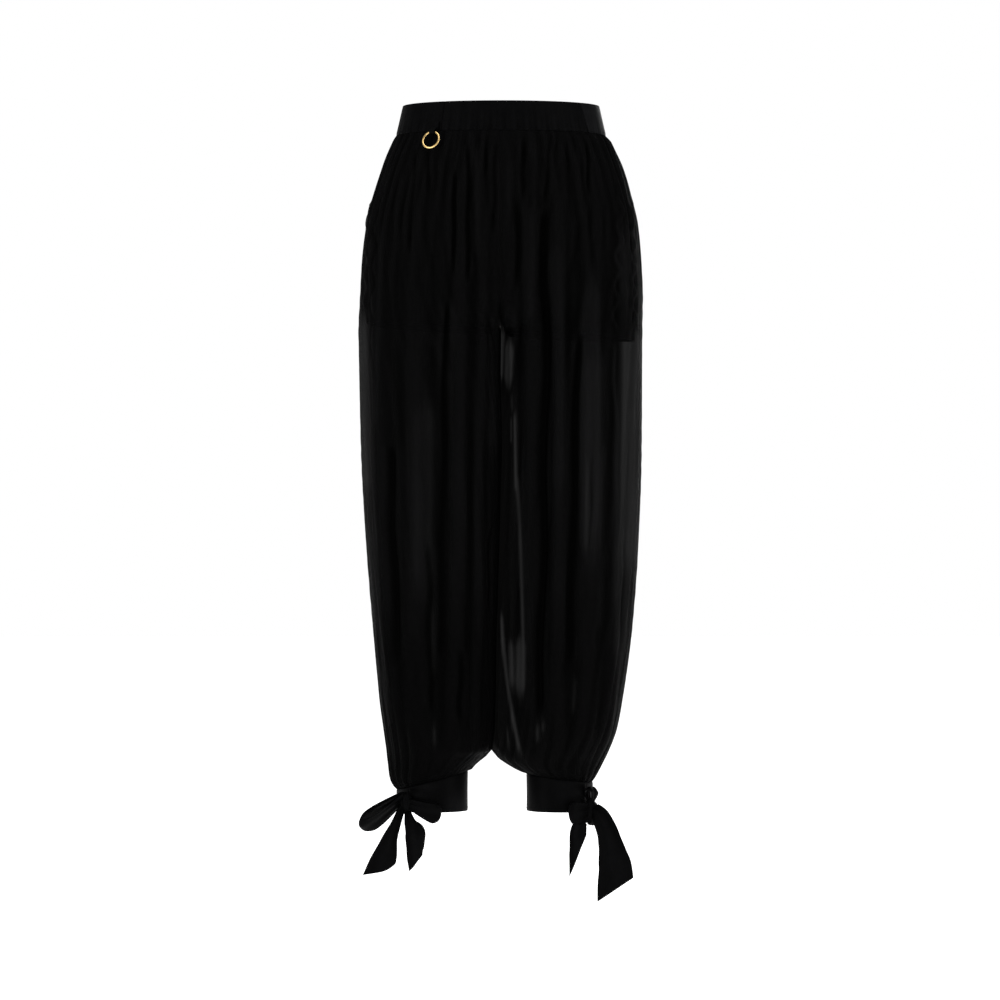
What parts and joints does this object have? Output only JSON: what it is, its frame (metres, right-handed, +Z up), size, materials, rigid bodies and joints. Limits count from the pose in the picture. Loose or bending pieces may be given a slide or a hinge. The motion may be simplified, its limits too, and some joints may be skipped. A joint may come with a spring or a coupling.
{
  "type": "gathered balloon trousers with ankle ties",
  "caption": "High-waisted balloon trousers in sheer cloth over lining shorts, gathered into a waistband and into ankle cuffs that tie in bows, in the hollow form they have when worn.",
  "frame": {"origin": "middle of the waist, halfway up the waistband", "axes": "+Z up along the body, the front faces -Y, the wearer's left is +X"},
  "size_m": [0.3838, 0.2591, 1.0686],
  "materials": {
    "sheer_cloth": "sheer black crinkled cloth, soft matte",
    "lining_cloth": "plain opaque black cloth",
    "satin_cloth": "black satin, soft sheen",
    "ring_metal": "polished gold colour"
  },
  "bodies": {
    "garment": {"trouser_right_front": "sheer_cloth", "trouser_left_front": "sheer_cloth", "trouser_right_back": "sheer_cloth", "trouser_left_back": "sheer_cloth", "waistband_front": "satin_cloth", "waistband_back": "satin_cloth", "lining_right_front": "lining_cloth", "lining_right_back": "lining_cloth", "lining_left_front": "lining_cloth", "lining_left_back": "lining_cloth", "cuff_right": "satin_cloth", "cuff_left": "satin_cloth", "tie_right_knot": "satin_cloth", "tie_right_loop_outer": "satin_cloth", "tie_right_loop_inner": "satin_cloth", "tie_right_tail_outer": "satin_cloth", "tie_right_tail_inner": "satin_cloth", "tie_left_knot": "satin_cloth", "tie_left_loop_outer": "satin_cloth", "tie_left_loop_inner": "satin_cloth", "tie_left_tail_outer": "satin_cloth", "tie_left_tail_inner": "satin_cloth", "ring_tab": "satin_cloth"},
    "ring": {"ring": "ring_metal"}
  },
  "joints": [
    {"name": "ring_swing", "type": "hinge", "parent": "garment", "child": "ring", "pos_m": [-0.08978, -0.08439, -0.0215], "axis": [-0.8954, 0.4453, 0], "range_deg": [0, 120]}
  ]
}
